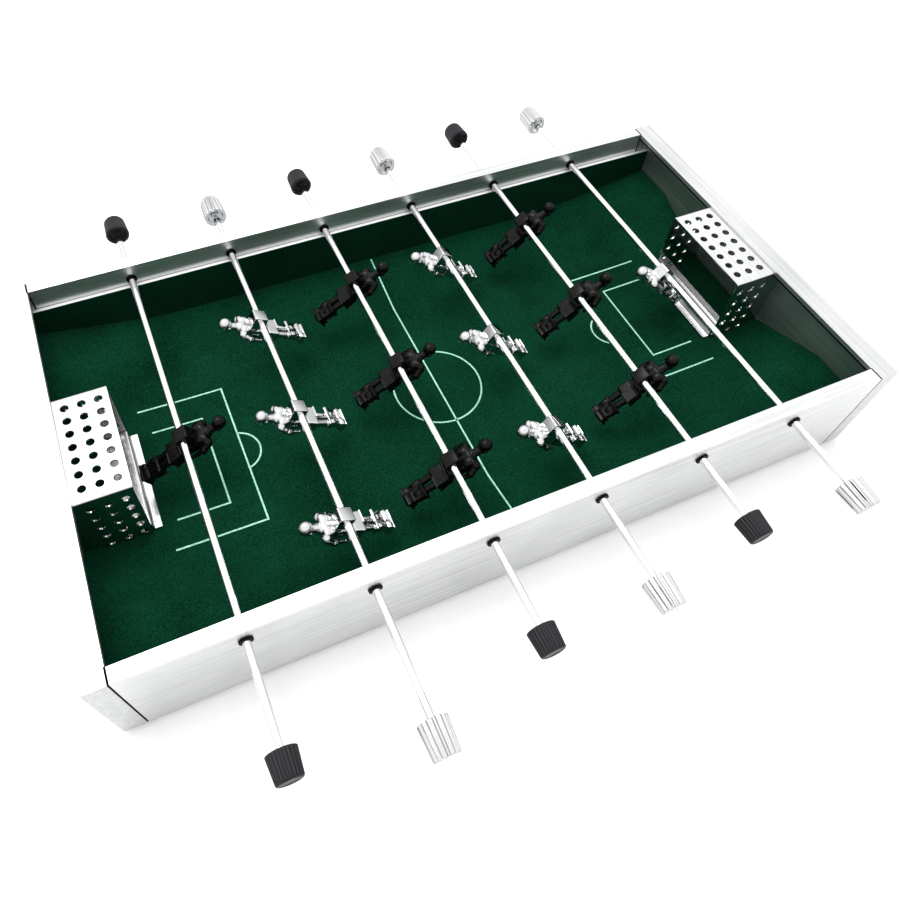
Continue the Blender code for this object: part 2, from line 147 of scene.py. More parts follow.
def evaluated_mesh(mesh, *modifiers):
    """The mesh that a list of (type, settings) modifiers makes of a mesh."""
    obj = bpy.data.objects.new("work", mesh)
    bpy.context.scene.collection.objects.link(obj)
    for kind, settings in modifiers:
        modifier = obj.modifiers.new(kind.lower(), kind)
        for key, value in settings.items():
            setattr(modifier, key, value)
    bpy.context.view_layer.update()
    graph = bpy.context.evaluated_depsgraph_get()
    result = bpy.data.meshes.new_from_object(obj.evaluated_get(graph))
    result.name = mesh.name
    bpy.data.objects.remove(obj, do_unlink=True)
    return result


def combined(mesh, other, operation):
    """Join a mesh to another, cut it by another, or keep what both fill."""
    tool = bpy.data.objects.new("tool", other)
    bpy.context.scene.collection.objects.link(tool)
    settings = {"operation": operation, "solver": "EXACT", "object": tool}
    result = evaluated_mesh(mesh, ("BOOLEAN", settings))
    bpy.data.objects.remove(tool, do_unlink=True)
    return result


def rings_mesh(name, rings):
    """Skin a list of closed rings of points in order, and close both ends."""
    bm = bmesh.new()
    made = [[bm.verts.new(point) for point in ring] for ring in rings]
    for first, second in zip(made, made[1:]):
        count = len(first)
        for i in range(count):
            after = (i + 1) % count
            bm.faces.new((first[i], first[after], second[after], second[i]))
    for ring in (made[0], made[-1]):
        centre = sum((vert.co for vert in ring), Vector()) / len(ring)
        middle = bm.verts.new(centre)
        for i, vert in enumerate(ring):
            bm.faces.new((vert, ring[(i + 1) % len(ring)], middle))
    bmesh.ops.recalc_face_normals(bm, faces=bm.faces)
    return mesh_from(bm, name)


def ring(height, radius, count, groove=None):
    """A ring about Z. groove gives, for each direction, how far the surface is cut in."""
    points = []
    for i in range(count):
        turn = math.tau * i / count
        reach = radius - (groove(turn) if groove else 0.0)
        points.append((reach * math.cos(turn), reach * math.sin(turn), height))
    return points


def rounded_profile(points, radius, steps=4):
    """A profile whose inner corners are replaced by short arcs."""
    corners = [Vector(point) for point in points]
    result = [corners[0]]
    for before, corner, after in zip(corners, corners[1:], corners[2:]):
        into, out = (corner - before), (after - corner)
        cut = min(radius, into.length * 0.45, out.length * 0.45)
        start = corner - into.normalized() * cut
        finish = corner + out.normalized() * cut
        for step in range(steps + 1):
            part = step / steps
            result.append(start.lerp(corner, part).lerp(corner.lerp(finish, part), part))
    return [tuple(point) for point in result + [corners[-1]]]


def thick_outline(path, thickness):
    """The outline of a bent strip, from the points of its middle line."""
    corners = [Vector(point) for point in path]
    runs = [(second - first).normalized() for first, second in zip(corners, corners[1:])]
    normals = [Vector((-run.y, run.x)) for run in runs]
    shifts = [normals[0]]
    for before, after in zip(normals, normals[1:]):
        mitre = (before + after).normalized()
        shifts.append(mitre / mitre.dot(after))
    shifts.append(normals[-1])
    half = thickness / 2
    left = [corner + shift * half for corner, shift in zip(corners, shifts)]
    right = [corner - shift * half for corner, shift in zip(corners, shifts)]
    return [tuple(point) for point in left + right[::-1]]


def extruded(name, outline, place, shift):
    """Extrude a flat outline: place turns its two values into a point, shift is how far."""
    bm = bmesh.new()
    face = bm.faces.new([bm.verts.new(place(*point)) for point in outline])
    moved = bmesh.ops.extrude_face_region(bm, geom=[face])["geom"]
    corners = [item for item in moved if isinstance(item, bmesh.types.BMVert)]
    bmesh.ops.translate(bm, verts=corners, vec=shift)
    bmesh.ops.recalc_face_normals(bm, faces=bm.faces)
    return mesh_from(bm, name)


# ---------------------------------------------------------------- materials

class Surface:
    """A Principled material and the nodes that vary it over the surface."""

    def __init__(self, name, metallic=0.0, roughness=0.5, **sockets):
        self.material = bpy.data.materials.new(name)
        self.material.use_nodes = True
        self.tree = self.material.node_tree
        self.shader = self.tree.nodes["Principled BSDF"]
        self.shader.inputs["Metallic"].default_value = metallic
        self.shader.inputs["Roughness"].default_value = roughness
        for socket, value in sockets.items():
            self.shader.inputs[socket.replace("_", " ")].default_value = value
        self.place = self.node("ShaderNodeTexCoord").outputs["Object"]
        self.bumps = None

    def node(self, kind, **settings):
        node = self.tree.nodes.new(kind)
        for key, value in settings.items():
            setattr(node, key, value)
        return node

    def link(self, output, socket):
        self.tree.links.new(output, socket)

    def noise(self, scale, detail=3.0, roughness=0.55, stretch=None):
        """Noise from 0 to 1. stretch scales X, Y and Z before it, to draw it out into grain."""
        source = self.place
        if stretch:
            mapping = self.node("ShaderNodeMapping")
            mapping.inputs["Scale"].default_value = stretch
            self.link(source, mapping.inputs["Vector"])
            source = mapping.outputs["Vector"]
        noise = self.node("ShaderNodeTexNoise")
        noise.inputs["Scale"].default_value = scale
        noise.inputs["Detail"].default_value = detail
        noise.inputs["Roughness"].default_value = roughness
        self.link(source, noise.inputs["Vector"])
        return noise.outputs["Fac"]

    def mixed(self, first, second, share):
        """Two noises in one: share of the second, the rest of the first."""
        mix = self.node("ShaderNodeMix")
        mix.inputs["Factor"].default_value = share
        self.link(first, mix.inputs["A"])
        self.link(second, mix.inputs["B"])
        return mix.outputs["Result"]

    def colour(self, factor, dark, light, low=0.3, high=0.7):
        ramp = self.node("ShaderNodeValToRGB")
        ramp.color_ramp.elements[0].position = low
        ramp.color_ramp.elements[1].position = high
        ramp.color_ramp.elements[0].color = (*dark, 1.0)
        ramp.color_ramp.elements[1].color = (*light, 1.0)
        self.link(factor, ramp.inputs["Fac"])
        self.link(ramp.outputs["Color"], self.shader.inputs["Base Color"])

    def roughness(self, factor, low, high):
        spread = self.node("ShaderNodeMapRange")
        spread.inputs["From Min"].default_value = 0.25
        spread.inputs["From Max"].default_value = 0.75
        spread.inputs["To Min"].default_value = low
        spread.inputs["To Max"].default_value = high
        self.link(factor, spread.inputs["Value"])
        self.link(spread.outputs["Result"], self.shader.inputs["Roughness"])

    def bump(self, height, strength, distance):
        bump = self.node("ShaderNodeBump")
        bump.inputs["Strength"].default_value = strength
        bump.inputs["Distance"].default_value = distance
        self.link(height, bump.inputs["Height"])
        if self.bumps:
            self.link(self.bumps, bump.inputs["Normal"])
        self.bumps = bump.outputs["Normal"]
        self.link(self.bumps, self.shader.inputs["Normal"])


def make_felt(name, dark, light):
    """Short-pile felt: fine fibres, a coarser nap and a slow unevenness of colour."""
    felt = Surface(name, roughness=0.95, Sheen_Weight=0.06, Sheen_Roughness=0.5,
                   Sheen_Tint=(0.2, 0.75, 0.5, 1.0), Specular_IOR_Level=0.05)
    fibres = felt.noise(2400, detail=4, roughness=0.7)
    nap = felt.noise(800, detail=4, roughness=0.7)
    cloth = felt.mixed(fibres, nap, 0.45)
    slow = felt.noise(26, detail=3)
    felt.colour(felt.mixed(cloth, slow, 0.14), dark, light, 0.40, 0.62)
    felt.bump(nap, 0.35, 0.0004)
    felt.bump(fibres, 0.5, 0.00015)
    return felt.material


def make_line_paint():
    """Pale print on felt, with the green showing through between the fibres."""
    paint = Surface("line_print", roughness=0.9, Specular_IOR_Level=0.2)
    fibres = paint.noise(2200, detail=4, roughness=0.75)
    nap = paint.noise(600, detail=2)
    paint.colour(paint.mixed(fibres, nap, 0.4), (0.08, 0.30, 0.20), (0.42, 0.69, 0.57),
                 0.34, 0.56)
    paint.bump(fibres, 0.5, 0.00015)
    return paint.material


def make_brushed(name, stretch, dark, light, low, high, metallic=1.0):
    """Brushed aluminium. stretch is small along the brushing and large across it."""
    metal = Surface(name, metallic=metallic)
    fine = metal.noise(1.0, detail=5, roughness=0.65, stretch=stretch)
    coarse = metal.noise(1.0, detail=4, roughness=0.7,
                         stretch=[value / BRUSH_STEP for value in stretch])
    grain = metal.mixed(fine, coarse, 0.6)
    handling = metal.noise(14, detail=3)
    metal.colour(metal.mixed(grain, handling, 0.2), dark, light, 0.38, 0.62)
    metal.roughness(metal.mixed(grain, handling, 0.4), low, high)
    metal.bump(grain, 0.12, 0.00008)
    return metal.material


def make_polished(name, colour, low, high, ripple, stretch=None):
    """Polished or plated metal, with faint smears and a slight unevenness."""
    metal = Surface(name, metallic=1.0)
    smears = metal.noise(90, detail=4, roughness=0.6)
    metal.colour(smears, tuple(0.93 * value for value in colour), colour)
    metal.roughness(smears, low, high)
    waves = metal.noise(1.0, detail=3, stretch=stretch) if stretch else metal.noise(260, detail=2)
    metal.bump(waves, ripple, 0.0001)
    return metal.material


def make_plastic(name, dark, light, low, high, grain, shine=0.3):
    """Moulded black plastic or rubber with a fine grain."""
    plastic = Surface(name, Specular_IOR_Level=shine)
    slow = plastic.noise(180, detail=3)
    plastic.colour(slow, dark, light)
    plastic.roughness(slow, low, high)
    plastic.bump(plastic.noise(3200, detail=2), grain, 0.00006)
    return plastic.material


BRUSH_STEP = 6               # the coarse strokes of brushed metal are this much wider
LOOKS = {
    "pitch_felt": make_felt("pitch_felt", (0.0008, 0.011, 0.005), (0.0062, 0.070, 0.036)),
    "liner_felt": make_felt("liner_felt", (0.0006, 0.010, 0.005), (0.0035, 0.046, 0.023)),
    "liner_board": make_brushed("liner_board_aluminium", (25, 2600, 2600),
                                (0.80, 0.80, 0.80), (0.90, 0.90, 0.90), 0.35, 0.50, 0.5),
    "line_print": make_line_paint(),
    "rail": make_brushed("rail_aluminium", (25, 2600, 2600),
                         (0.50, 0.505, 0.51), (0.78, 0.785, 0.79), 0.30, 0.44, 0.95),
    # The panels' aluminium is coloured darker than the rails': painted shade, so that the panels' near faces come
    # out grey.
    "panel": make_brushed("panel_aluminium_painted_shade", (2600, 25, 2600),
                          (0.45, 0.455, 0.46), (0.68, 0.685, 0.69), 0.38, 0.52, 0.97),
    # The sills' sheet is coloured darker than the goals' own sheet: painted shade from the goals' tops over the
    # sills.
    "sheet": make_brushed("sill_sheet_painted_shade", (2200, 40, 2200),
                          (0.42, 0.42, 0.425), (0.58, 0.58, 0.585), 0.20, 0.32),
    "goal": make_brushed("goal_sheet", (2200, 40, 2200),
                         (0.52, 0.52, 0.525), (0.66, 0.66, 0.665), 0.12, 0.22),
    "rod": make_polished("rod_steel", (0.84, 0.845, 0.85), 0.06, 0.13, 0.015,
                         (500, 6000, 500)),
    "figure_chrome": make_polished("figure_chrome", (0.55, 0.555, 0.56), 0.03, 0.08, 0.02),
    "knob_chrome": make_polished("knob_chrome", (0.58, 0.585, 0.59), 0.05, 0.10, 0.05),
    "figure_black": make_plastic("figure_black", (0.002, 0.002, 0.002), (0.004, 0.0035, 0.004),
                                 0.20, 0.32, 0.10, 0.2),
    "knob_black": make_plastic("knob_black", (0.004, 0.003, 0.005), (0.009, 0.007, 0.011),
                               0.40, 0.55, 0.35, 0.4),
    "bushing": make_plastic("bushing_black", (0.002, 0.002, 0.002), (0.004, 0.004, 0.005),
                            0.45, 0.60, 0.15, 0.12),
    "gasket": make_plastic("gasket_rubber", (0.002, 0.002, 0.002), (0.004, 0.004, 0.004),
                           0.60, 0.80, 0.30, 0.08),
    "board": make_plastic("base_board_black", (0.010, 0.010, 0.011), (0.022, 0.022, 0.023),
                          0.60, 0.80, 0.30),
}


# ---------------------------------------------------------------- case

RAIL_EDGE = 0.00045          # how much the edges are broken
BORE_DRILL_LENGTH = 0.03
BORE_SIDES = 48


def make_rails():
    for side_name, _ in SIDES:
        node = side_name + "_rail"
        low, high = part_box(node)
        bores = bmesh.new()
        for number in SPINS:
            low_bushing, high_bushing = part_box("bushing_%d_%s" % (number, side_name))
            centre = (low_bushing + high_bushing) / 2
            add_drill(bores, centre, (0, 1, 0), SLEEVE_RADIUS + FIT, BORE_DRILL_LENGTH,
                      BORE_SIDES)
        mesh = combined(box_mesh(node + "_bar", low, high), mesh_from(bores, "bores"),
                        "DIFFERENCE")
        bar = add_piece(node + "_bar", smooth(mesh), LOOKS["rail"], "case", [node])
        add_bevel(bar, RAIL_EDGE)


PANEL_CORNER_RADIUS = 0.0012
PANEL_EDGE = 0.0004
PANEL_FIT = 0.0003           # clearance between a panel's notches and the rails' inner faces
NOTCH_DEPTH = 0.02
GASKET_SHOWN = 0.0005        # how thick the gaskets are between the rails and the panels
GASKET_FIT = 0.0001
GASKET_BAR_HEIGHT = 0.0012   # the crosspiece under a panel's lip
GASKET_SET_BACK = 0.0002     # from the rails' outer faces
GASKET_TOP_SET_BACK = 0.0006
GASKET_EDGE = 0.0001


def rounded_panel(node, outer_x):
    """An end panel's block, with its two upright outer edges rounded."""
    bm = bmesh.new()
    add_box(bm, *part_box(node))
    upright = [edge for edge in bm.edges
               if all(abs(vert.co.x - outer_x) < 1e-5 for vert in edge.verts)
               and abs(edge.verts[0].co.z - edge.verts[1].co.z) > 1e-3]
    bmesh.ops.bevel(bm, geom=upright, offset=PANEL_CORNER_RADIUS, segments=8, profile=0.5,
                    affect="EDGES")
    return mesh_from(bm, node + "_wall")


def make_end_panels():
    """Walls with a pocket under a lip, notched at both corners for the rails' ends."""
    for end_name, end in ENDS:
        node = end_name + "_end_panel"
        low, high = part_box(node)
        outer_x = low.x if end < 0 else high.x
        inner_x = high.x if end < 0 else low.x
        past_lip_x = inner_x - end * OVERCUT
        xs = sorted((past_lip_x, outer_x - end * PANEL_WALL))
        pocket = box_mesh("pocket", (xs[0], -RAIL_INNER_Y, low.z - OVERCUT),
                          (xs[1], RAIL_INNER_Y, high.z - LIP_THICKNESS))
        mesh = combined(rounded_panel(node, outer_x), pocket, "DIFFERENCE")
        notches = bmesh.new()
        xs = sorted((past_lip_x, end * (GASKET_X + GASKET_SHOWN + GASKET_FIT)))
        for side in (-1, 1):
            ys = sorted((side * (RAIL_INNER_Y - PANEL_FIT), side * (RAIL_INNER_Y + NOTCH_DEPTH)))
            add_box(notches, (xs[0], ys[0], low.z - OVERCUT), (xs[1], ys[1], high.z + OVERCUT))
        mesh = combined(mesh, mesh_from(notches, "notches"), "DIFFERENCE")
        # The panel colour holds painted shade: it is darker than the rails' aluminium.
        wall = add_piece(node + "_wall", smooth(mesh), LOOKS["panel"], "case", [node])
        add_bevel(wall, PANEL_EDGE)


def make_gaskets():
    """Thin rubber frames, set back a little in the joints between the rails and the panels."""
    for end_name, end in ENDS:
        node = end_name + "_gasket"
        low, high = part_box(node)
        bar_top = high.z - LIP_THICKNESS - GASKET_FIT
        xs = sorted((end * GASKET_X, end * (GASKET_X + GASKET_SHOWN)))
        plate = box_mesh(node + "_seal", (xs[0], low.y + GASKET_SET_BACK, low.z),
                         (xs[1], high.y - GASKET_SET_BACK, high.z - GASKET_TOP_SET_BACK))
        window = box_mesh("window", (low.x - OVERCUT, -RAIL_INNER_Y, low.z - OVERCUT),
                          (high.x + OVERCUT, RAIL_INNER_Y, bar_top - GASKET_BAR_HEIGHT))
        slot = box_mesh("slot", (low.x - OVERCUT, -RAIL_INNER_Y, bar_top),
                        (high.x + OVERCUT, RAIL_INNER_Y, high.z + OVERCUT))
        mesh = combined(combined(plate, window, "DIFFERENCE"), slot, "DIFFERENCE")
        seal = add_piece(node + "_seal", smooth(mesh), LOOKS["gasket"], "case", [node])
        add_bevel(seal, GASKET_EDGE)


LINER_BOARD_EDGE = 0.0003
LINER_FELT_EDGE = 0.0002
FELT_BELOW_BOARD = 0.0003    # how far the felt stops below a board's top


def make_liners():
    """Pale boards whose inner faces are covered with felt, with the boards' tops left bare."""
    for side_name, side in SIDES:
        node = side_name + "_liner"
        low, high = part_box(node)
        face_y = low.y if side > 0 else high.y
        split_y = face_y + side * FELT_THICKNESS
        back_y = high.y if side > 0 else low.y
        ys = sorted((split_y, back_y))
        board = box_mesh(node + "_board", (low.x, ys[0], low.z), (high.x, ys[1], high.z))
        board = add_piece(node + "_board", smooth(board), LOOKS["liner_board"], "case", [node])
        add_bevel(board, LINER_BOARD_EDGE)
        ys = sorted((face_y, split_y - side * FIT))
        felt = box_mesh(node + "_felt", (low.x, ys[0], low.z),
                        (high.x, ys[1], high.z - FELT_BELOW_BOARD))
        felt = add_piece(node + "_felt", smooth(felt), LOOKS["liner_felt"], "case", [node])
        add_bevel(felt, LINER_FELT_EDGE)


def pitch_height(x, y):
    """Height of the playing surface: level, then rising to the ends, sides and corners."""
    rise = PITCH_RISE * max(abs(x) - PITCH_RISE_FROM_X, 0.0) ** 2
    side = SIDE_BANK_SLOPE * max(abs(y) - SIDE_BANK_FROM_Y, 0.0)
    along = (abs(x) - CORNER_FROM_X) / (PITCH_HALF_LENGTH - CORNER_FROM_X)
    across = min((abs(y) - CORNER_Y[0]) / (CORNER_Y[1] - CORNER_Y[0]), 1.0)
    corner = max(along + across - 1.0, 0.0)
    return PITCH_Z + rise + side + (CORNER_HEIGHT - side) * corner


PITCH_CELLS = (134, 68)


def make_pitch():
    """The felt-covered board: the playing surface, closed by a level underside."""
    low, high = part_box("pitch")
    bm = bmesh.new()
    bmesh.ops.create_grid(bm, x_segments=PITCH_CELLS[0], y_segments=PITCH_CELLS[1], size=1.0,
                          matrix=Matrix.Diagonal((high.x, high.y, 1.0, 1.0)))
    for vert in bm.verts:
        vert.co.z = pitch_height(vert.co.x, vert.co.y)
    moved = bmesh.ops.extrude_face_region(bm, geom=list(bm.faces), use_keep_orig=True)["geom"]
    for vert in (item for item in moved if isinstance(item, bmesh.types.BMVert)):
        vert.co.z = low.z
    under = [item for item in moved if isinstance(item, bmesh.types.BMFace)]
    bmesh.ops.dissolve_faces(bm, faces=under, use_verts=True)
    bmesh.ops.recalc_face_normals(bm, faces=bm.faces)
    mesh = smooth(mesh_from(bm, "pitch_cloth"), 50)
    add_piece("pitch_cloth", mesh, LOOKS["pitch_felt"], "case", ["pitch"])


# ---------------------------------------------------------------- pitch markings

LINE_WIDTH = 0.0013
LINE_PROUD = 0.00012
LINE_TO_EDGE = 0.001         # from the centre line's ends to the edge of the pitch
CENTRE_CIRCLE = 0.0336       # radius
OUTER_BOX = (0.1522, 0.0585, 0.2140)     # front line, side lines, where the side lines end
INNER_BOX = (0.1722, 0.0372, 0.2080)
ARC_CENTRE = 0.1560          # the arcs' centres lie inside the outer boxes
ARC_RADIUS = 0.0160
ARC_STEPS = 24
CIRCLE_STEPS = 96


def straight(first, second, step=0.003):
    count = max(1, round(math.dist(first, second) / step))
    return [Vector(first).lerp(Vector(second), i / count) for i in range(count + 1)]


def add_ribbon(bm, path, closed=False):
    """Lay a printed line on the pitch along a path of points."""
    count = len(path)
    rows = []
    for i, point in enumerate(path):
        before = path[(i - 1) % count] if closed or i else point
        after = path[(i + 1) % count] if closed or i < count - 1 else point
        into = (point - before).normalized() if before != point else (after - point).normalized()
        out = (after - point).normalized() if after != point else into
        mitre = Vector((-(into.y + out.y), into.x + out.x)).normalized()
        reach = LINE_WIDTH / 2 / max(0.5, mitre.dot(Vector((-out.y, out.x))))
        row = []
        for side in (-1, 1):
            x, y = point + mitre * side * reach
            row.append(bm.verts.new((x, y, pitch_height(x, y) + LINE_PROUD)))
        rows.append(row)
    pairs = list(zip(rows, rows[1:])) + ([(rows[-1], rows[0])] if closed else [])
    for first, second in pairs:
        bm.faces.new((first[0], second[0], second[1], first[1]))


def box_path(front, side, back, end):
    corners = [(end * back, -side), (end * front, -side), (end * front, side), (end * back, side)]
    path = []
    for first, second in zip(corners, corners[1:]):
        path += straight(first, second)[:-1]
    return path + [Vector(corners[-1])]


def arc_path(centre, radius, start, finish, count):
    turns = [start + (finish - start) * i / count for i in range(count + 1)]
    return [Vector((centre + radius * math.cos(turn), radius * math.sin(turn))) for turn in turns]


def make_markings():
    """The centre line and circle, and at each end two boxes and an arc."""
    bm = bmesh.new()
    half_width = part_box("pitch")[1].y - LINE_TO_EDGE
    add_ribbon(bm, straight((0, -half_width), (0, half_width)))
    add_ribbon(bm, arc_path(0.0, CENTRE_CIRCLE, 0, math.tau, CIRCLE_STEPS)[:-1], closed=True)
    front_line = OUTER_BOX[0] - LINE_WIDTH / 2
    spread = math.acos((ARC_CENTRE - front_line) / ARC_RADIUS)
    for _, end in ENDS:
        add_ribbon(bm, box_path(*OUTER_BOX, end))
        add_ribbon(bm, box_path(*INNER_BOX, end))
        facing = math.pi if end > 0 else 0.0
        add_ribbon(bm, arc_path(end * ARC_CENTRE, ARC_RADIUS, facing - spread, facing + spread,
                                ARC_STEPS))
    bmesh.ops.recalc_face_normals(bm, faces=bm.faces)
    for face in bm.faces:
        if face.normal.z < 0:
            face.normal_flip()
    settings = {"thickness": 3 * LINE_PROUD, "offset": -1.0}
    mesh = evaluated_mesh(mesh_from(bm, "pitch_markings"), ("SOLIDIFY", settings))
    add_piece("pitch_markings", mesh, LOOKS["line_print"], "case")


# ---------------------------------------------------------------- goals

GOAL_BEND = 0.0014           # outer radius where the sheet is folded
GOAL_HOLE_RADIUS = 0.0027
GOAL_TO_PANEL = 0.0010       # how far a goal ends before the inside of the end panel's wall
GOAL_HOLE_COLUMNS = (0.2285, 0.239, 0.2495)
GOAL_TOP_HOLES = 7
GOAL_TOP_HOLE_PITCH = 0.01035
GOAL_SIDE_HOLES = 5
GOAL_SIDE_HOLE_PITCH = 0.011
GOAL_LOWEST_HOLE_Z = 0.027
GOAL_FOOT_SET_BACK = 0.002   # the foot of each side starts this far behind the goal's front
GOAL_FOOT_ABOVE_FELT = 0.0004
GOAL_FOOT_POINTS = 9
HOLE_SIDES = 28
# The middle line of a sill, along X from the goal's front and up from its lowest point
SILL_PATH = ((-0.0044, 0.0), (0.0012, 0.0), (0.0012, 0.0069), (0.0074, 0.0069),
             (0.0074, 0.0010), (0.0164, 0.0010), (0.0164, 0.0069))
SILL_BEND = 0.0011


def goal_side_view(low, high, end):
    """Side view of a goal: a level top that runs back through the panel's lip, and its foot."""
    front, back = (high.x, low.x) if end < 0 else (low.x, high.x)
    back -= end * GOAL_TO_PANEL
    foot = front + end * GOAL_FOOT_SET_BACK
    points = [(front, high.z), (back, high.z)]
    for i in range(GOAL_FOOT_POINTS):
        x = back + (foot - back) * i / (GOAL_FOOT_POINTS - 1)
        points.append((x, pitch_height(x, 0) + GOAL_FOOT_ABOVE_FELT))
    return points


def make_goals():
    """Perforated sheets, each folded into a top and two sides."""
    for end_name, end in ENDS:
        node = end_name + "_goal"
        low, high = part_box(node)
        drop = low.z - 0.005
        path = rounded_profile([(low.y + SHEET / 2, drop), (low.y + SHEET / 2, high.z - SHEET / 2),
                                (high.y - SHEET / 2, high.z - SHEET / 2),
                                (high.y - SHEET / 2, drop)], GOAL_BEND, 6)
        fold = extruded(node + "_sheet", thick_outline(path, SHEET),
                        lambda y, z: (low.x - 0.002, y, z), (high.x - low.x + 0.004, 0, 0))
        side = extruded("side", goal_side_view(low, high, end),
                        lambda x, z: (x, low.y - 0.01, z), (0, high.y - low.y + 0.02, 0))
        mesh = combined(fold, side, "INTERSECT")
        for drills in goal_drills(end, high.z):
            mesh = combined(mesh, drills, "DIFFERENCE")
        add_piece(node + "_sheet", smooth(mesh), LOOKS["goal"], "case", [node])


def goal_drills(end, top_z):
    """The drills for a goal's top and, through both at once, for its two sides."""
    top, sides = bmesh.new(), bmesh.new()
    for column in GOAL_HOLE_COLUMNS:
        for row in range(GOAL_TOP_HOLES):
            y = (row - (GOAL_TOP_HOLES - 1) / 2) * GOAL_TOP_HOLE_PITCH
            add_drill(top, (end * column, y, top_z), (0, 0, 1), GOAL_HOLE_RADIUS, 0.01,
                      HOLE_SIDES)
        for row in range(GOAL_SIDE_HOLES):
            z = GOAL_LOWEST_HOLE_Z + row * GOAL_SIDE_HOLE_PITCH
            add_drill(sides, (end * column, 0, z), (0, 1, 0), GOAL_HOLE_RADIUS, 0.1,
                      HOLE_SIDES)
    return mesh_from(top, "top_drills"), mesh_from(sides, "side_drills")


def make_sills():
    """The bent strip across each goal's mouth."""
    for end_name, end in ENDS:
        node = end_name + "_goal_sill"
        low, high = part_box(node)
        front_x = abs(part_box(end_name + "_goal")[1 if end < 0 else 0].x)
        base_z = low.z + SHEET / 2
        path = rounded_profile(SILL_PATH, SILL_BEND, 5)
        outline = [(end * (front_x + x), base_z + z) for x, z in thick_outline(path, SHEET)]
        mesh = extruded(node + "_strip", outline, lambda x, z: (x, low.y, z),
                        (0, high.y - low.y, 0))
        # The sill colour is darker than the goal sheet's: painted shade under the goal's top.
        strip = add_piece(node + "_strip", smooth(mesh), LOOKS["sheet"], "case", [node])
        add_bevel(strip, 0.0002, 2, 50)


# ---------------------------------------------------------------- rods, bushings and knobs

ROD_CHAMFER = 0.0004
ROD_SIDES = 48
BUSHING_SIDES = 56
FLANGE_THICKNESS = 0.001
BUSHING_EDGE = 0.0003
BUSHING_ROUNDING = 0.00035
KNOB_CHAMFER = 0.0016        # at the outer end
KNOB_CHAMFER_STEPS = 6
KNOB_BODY_STEPS = 9
# The cupped inner end: the height and radius of each step from the bore out
KNOB_CUP = ((0.0030, 0.0052), (0.0026, 0.0058), (0.0003, 0.0062), (0.0, 0.0066))
# The inner rim: height, how far inside the full radius, share of the flutes' depth
KNOB_RIM = ((0.0, 0.0006, 0.3), (0.0002, 0.0002, 0.8), (0.0006, 0.0, 1.0))
KNOB_SHAPES = {              # number of flutes, their depth, how sharp they are
    "black": (24, 0.00045, 1.6),
    "chrome": (16, 0.0010, 1.0),
}
KNOB_STEPS_PER_FLUTE = 10


def turned(name, profile, count):
    """Turn a profile of (radius, height) about Z, from its first point round to its last."""
    return rings_mesh(name, [ring(height, radius, count) for radius, height in profile])


def make_rod_mesh(half_length):
    half = [(ROD_RADIUS, half_length - ROD_CHAMFER), (ROD_RADIUS - ROD_CHAMFER, half_length),
            (ROD_RADIUS * 0.1, half_length)]
    profile = [(radius, -height) for radius, height in half[::-1]] + half
    return smooth(turned("rod_shaft", rounded_profile(profile, ROD_CHAMFER / 2, 2), ROD_SIDES), 50)


def make_rods():
    meshes = {}
    for number, spin in SPINS.items():
        node = "rod_%d" % number
        team = TEAMS[number]
        if team not in meshes:
            meshes[team] = make_rod_mesh((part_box(node)[1].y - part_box(node)[0].y) / 2)
        place = Matrix.Translation(spin["pos_m"]) @ Matrix.Rotation(math.pi / 2, 4, "X")
        add_piece(node + "_shaft", meshes[team], LOOKS["rod"], node + "_slider", [node],
                  place)


def make_bushing_mesh():
    """A sleeve with a flange at its upper end, which is the end outside the rail."""
    low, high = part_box("bushing_1_near")
    half = (high.y - low.y) / 2
    flange = (high.x - low.x) / 2
    face = half - FLANGE_THICKNESS - BUSHING_EDGE
    bore = ROD_RADIUS + FIT
    outer = rounded_profile(
        [(bore, half - BUSHING_EDGE), (bore + BUSHING_EDGE, half), (flange, half),
         (flange, face), (SLEEVE_RADIUS, face), (SLEEVE_RADIUS, -half),
         (bore + BUSHING_EDGE, -half), (bore, -half + BUSHING_EDGE)], BUSHING_ROUNDING, 4)
    bm = bmesh.new()
    loops = []
    for radius, height in outer:
        loops.append([bm.verts.new(point) for point in ring(height, radius, BUSHING_SIDES)])
    for first, second in zip(loops, loops[1:] + loops[:1]):
        for i in range(len(first)):
            after = (i + 1) % len(first)
            bm.faces.new((first[i], first[after], second[after], second[i]))
    bmesh.ops.recalc_face_normals(bm, faces=bm.faces)
    return smooth(mesh_from(bm, "bushing_grommet"), 50)


def make_bushings():
    mesh = make_bushing_mesh()
    for number in SPINS:
        for side_name, side in SIDES:
            node = "bushing_%d_%s" % (number, side_name)
            low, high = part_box(node)
            turn = Matrix.Rotation(-side * math.pi / 2, 4, "X")
            place = Matrix.Translation((low + high) / 2) @ turn
            add_piece(node + "_grommet", mesh, LOOKS["bushing"], "case", [node], place)


